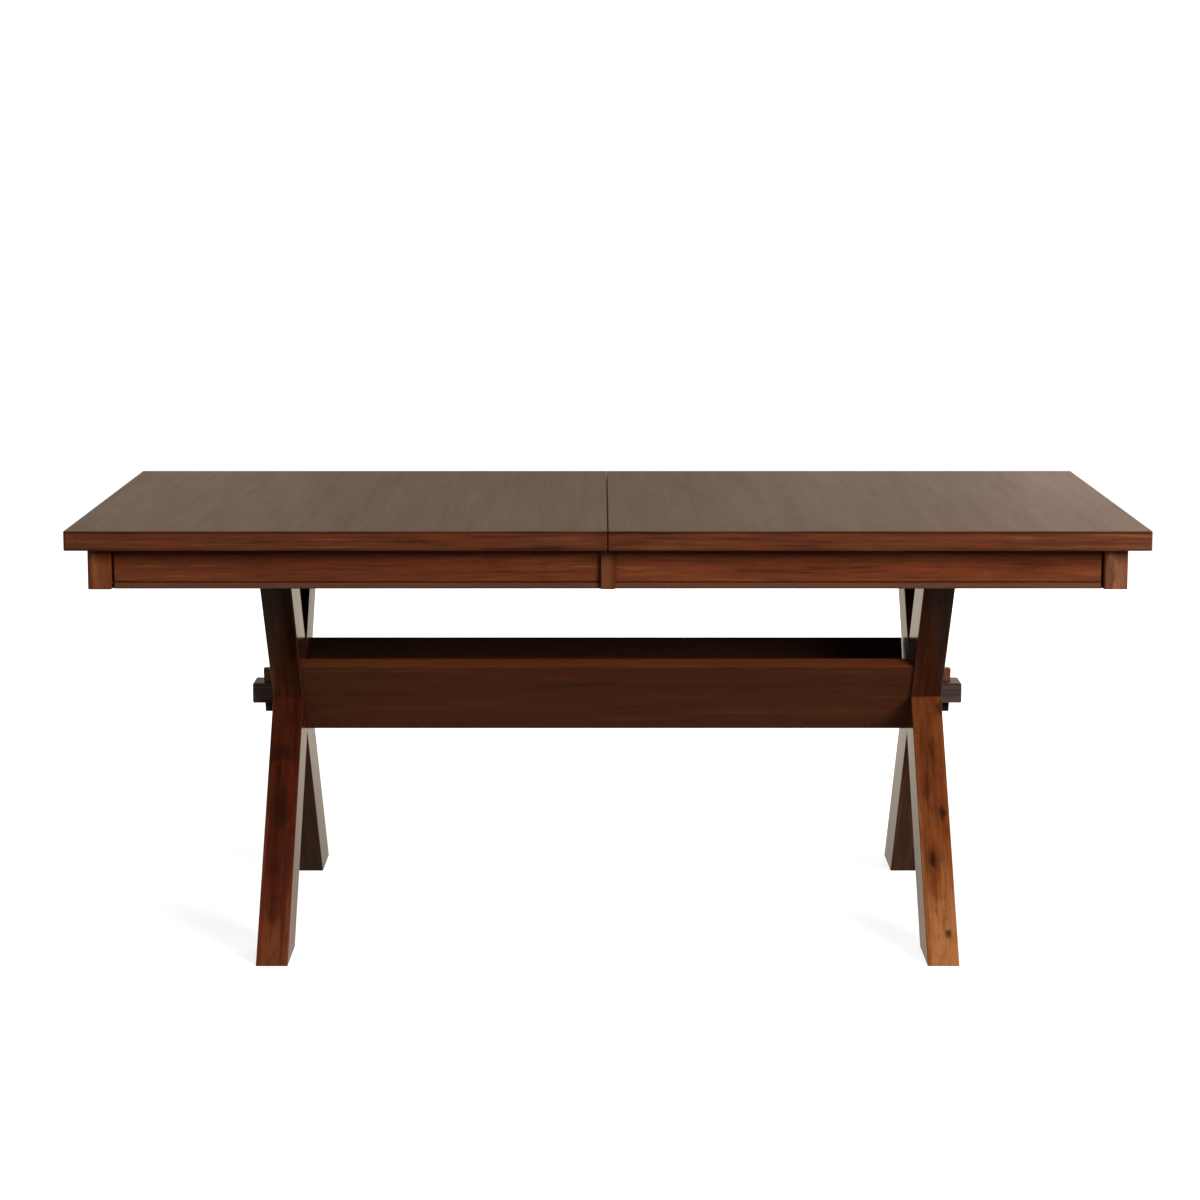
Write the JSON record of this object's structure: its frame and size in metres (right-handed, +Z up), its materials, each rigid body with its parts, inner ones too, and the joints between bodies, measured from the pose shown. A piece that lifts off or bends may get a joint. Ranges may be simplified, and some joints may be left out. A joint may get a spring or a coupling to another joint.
{
  "type": "sawbuck table",
  "caption": "Rectangular dining table whose split top slides apart on X-shaped sawbuck trestles, tied by a wedged through-tenon rail in a V-shaped trough.",
  "frame": {"origin": "on the floor under the middle of the closed top", "axes": "+X along the table to the right as seen from the front, +Y from front to back, +Z up"},
  "size_m": [1.829, 0.965, 0.762],
  "materials": {
    "top_veneer": "dark reddish-brown stain under satin lacquer",
    "top_lipping": "dark reddish-brown stain under satin lacquer",
    "apron_wood": "dark reddish-brown stain under satin lacquer",
    "leg_wood": "reddish-brown stain under satin lacquer, knotty",
    "tenon_wood": "dark brown stain under satin lacquer",
    "trough_wood": "dark brown stain under satin lacquer",
    "frame_wood": "brown stain, thin lacquer",
    "slide_wood": "bare hardwood, waxed",
    "zinc_steel": "zinc plated",
    "latch_steel": "zinc plated, dull"
  },
  "bodies": {
    "base": {"left_front_leg": "leg_wood", "left_back_leg": "leg_wood", "right_front_leg": "leg_wood", "right_back_leg": "leg_wood", "left_bearer": "frame_wood", "right_bearer": "frame_wood", "stretcher_rail": "tenon_wood", "left_wedge": "tenon_wood", "right_wedge": "tenon_wood", "trough_front_board": "trough_wood", "trough_back_board": "trough_wood", "front_slide_rail": "slide_wood", "back_slide_rail": "slide_wood", "slide_stops": "slide_wood"},
    "left_half": {"back_centre_post": "apron_wood", "back_latch_plate": "latch_steel", "front_centre_post": "apron_wood", "front_latch_plate": "latch_steel", "left_back_apron": "apron_wood", "left_back_brace": "frame_wood", "left_back_lipping": "top_lipping", "left_back_post": "apron_wood", "left_back_runner": "slide_wood", "left_end_apron": "apron_wood", "left_end_lipping": "top_lipping", "left_front_apron": "apron_wood", "left_front_brace": "frame_wood", "left_front_lipping": "top_lipping", "left_front_post": "apron_wood", "left_front_runner": "slide_wood", "left_seam_lipping": "top_lipping", "left_top_panel": "top_veneer", "seam_dowels": "slide_wood"},
    "right_half": {"back_latch_keeper": "latch_steel", "front_latch_keeper": "latch_steel", "right_back_apron": "apron_wood", "right_back_brace": "frame_wood", "right_back_lipping": "top_lipping", "right_back_post": "apron_wood", "right_back_runner": "slide_wood", "right_end_apron": "apron_wood", "right_end_lipping": "top_lipping", "right_front_apron": "apron_wood", "right_front_brace": "frame_wood", "right_front_lipping": "top_lipping", "right_front_post": "apron_wood", "right_front_runner": "slide_wood", "right_seam_lipping": "top_lipping", "right_top_panel": "top_veneer"},
    "front_latch": {"front_latch_lever": "latch_steel"},
    "back_latch": {"back_latch_lever": "latch_steel"}
  },
  "joints": [
    {"name": "left slide", "type": "slide", "parent": "base", "child": "left_half", "axis": [-1, 0, 0], "range_m": [0, 0.2285]},
    {"name": "right slide", "type": "slide", "parent": "base", "child": "right_half", "axis": [1, 0, 0], "range_m": [0, 0.2285]},
    {"name": "front latch swing", "type": "hinge", "parent": "left_half", "child": "front_latch", "pos_m": [-0.03, -0.1116, 0.7247], "axis": [0, 0, 1], "range_deg": [0, 90]},
    {"name": "back latch swing", "type": "hinge", "parent": "left_half", "child": "back_latch", "pos_m": [-0.03, 0.1116, 0.7247], "axis": [0, 0, -1], "range_deg": [0, 90]}
  ]
}
